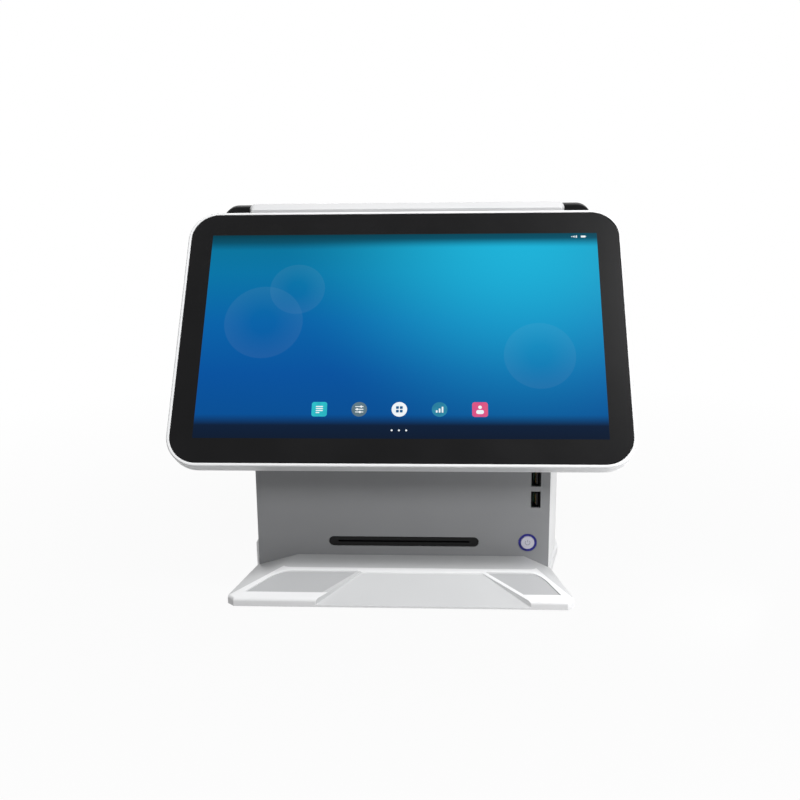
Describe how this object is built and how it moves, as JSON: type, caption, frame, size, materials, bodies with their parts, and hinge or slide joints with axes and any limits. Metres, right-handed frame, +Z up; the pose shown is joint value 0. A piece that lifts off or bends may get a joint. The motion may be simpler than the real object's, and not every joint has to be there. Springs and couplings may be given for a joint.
{
  "type": "pos touchscreen terminal",
  "caption": "Countertop point-of-sale terminal: a tilting touchscreen and a customer display on a flared pedestal with a wedge-shaped base, front USB sockets and a lit power button.",
  "frame": {"origin": "on the counter, under the middle of the base", "axes": "+X to the operator's right, along the display's width; +Y from the operator towards the customer; +Z up"},
  "size_m": [0.389, 0.248, 0.3311],
  "materials": {
    "white_plastic": "satin white moulded plastic",
    "grey_plastic": "satin grey moulded plastic",
    "tray_grey": "fine-textured light grey plastic",
    "cover_grey": "satin light grey moulded plastic",
    "black_plastic": "satin black plastic",
    "black_glass": "polished glass over a black border and a lit screen",
    "rubber": "matte black rubber",
    "steel": "plated sheet steel",
    "aluminium": "extruded aluminium",
    "circuit_board": "green solder mask",
    "lit_ring": "translucent light guide lit blue from behind",
    "button_grey": "satin light grey plastic"
  },
  "bodies": {
    "stand": {"base_shell": "white_plastic", "left_tray_panel": "tray_grey", "right_tray_panel": "tray_grey", "base_plate": "steel", "front_left_foot": "rubber", "front_right_foot": "rubber", "rear_left_foot": "rubber", "rear_right_foot": "rubber", "front_left_base_screw": "steel", "front_right_base_screw": "steel", "rear_left_base_screw": "steel", "rear_right_base_screw": "steel", "front_panel": "grey_plastic", "body_shell": "white_plastic", "slot_grille": "black_plastic", "left_speaker": "black_plastic", "right_speaker": "black_plastic", "front_socket_board": "circuit_board", "lower_usb_shell": "steel", "upper_usb_shell": "steel", "lower_usb_tongue": "black_plastic", "upper_usb_tongue": "black_plastic", "button_ring": "lit_ring", "power_switch": "black_plastic", "mainboard": "circuit_board", "heat_sink": "aluminium", "rear_socket_plate": "steel", "network_socket": "black_plastic", "drawer_socket": "black_plastic", "power_inlet": "black_plastic", "left_hinge_arm": "steel", "right_hinge_arm": "steel", "neck_cover": "white_plastic", "main_hinge_shaft": "steel", "main_left_washer": "steel", "main_right_washer": "steel", "main_left_nut": "steel", "main_right_nut": "steel", "customer_hinge_shaft": "steel", "customer_left_washer": "steel", "customer_right_washer": "steel", "customer_left_nut": "steel", "customer_right_nut": "steel"},
    "main_display": {"touch_glass": "black_glass", "display_frame": "white_plastic", "lcd_panel": "black_plastic", "display_chassis": "steel", "driver_board": "circuit_board", "display_back_cover": "white_plastic", "main_left_knuckle": "steel", "main_right_knuckle": "steel"},
    "customer_display": {"customer_glass": "black_glass", "customer_frame": "black_plastic", "customer_lcd": "black_plastic", "customer_back_cover": "cover_grey", "customer_left_knuckle": "steel", "customer_right_knuckle": "steel"},
    "button": {"power_button": "button_grey"}
  },
  "joints": [
    {"name": "main_display_tilt", "type": "hinge", "parent": "stand", "child": "main_display", "pos_m": [0, -0.02091, 0.19089], "axis": [1, 0, 0], "range_deg": [-8, 20]},
    {"name": "customer_display_tilt", "type": "hinge", "parent": "stand", "child": "customer_display", "pos_m": [0, 0.055, 0.211], "axis": [1, 0, 0], "range_deg": [-10, 0]},
    {"name": "power_button_press", "type": "slide", "parent": "stand", "child": "button", "axis": [0, 1, 0], "range_m": [0, 0.0012], "stiffness_N_per_m": 800, "springref_m": -0.001}
  ]
}
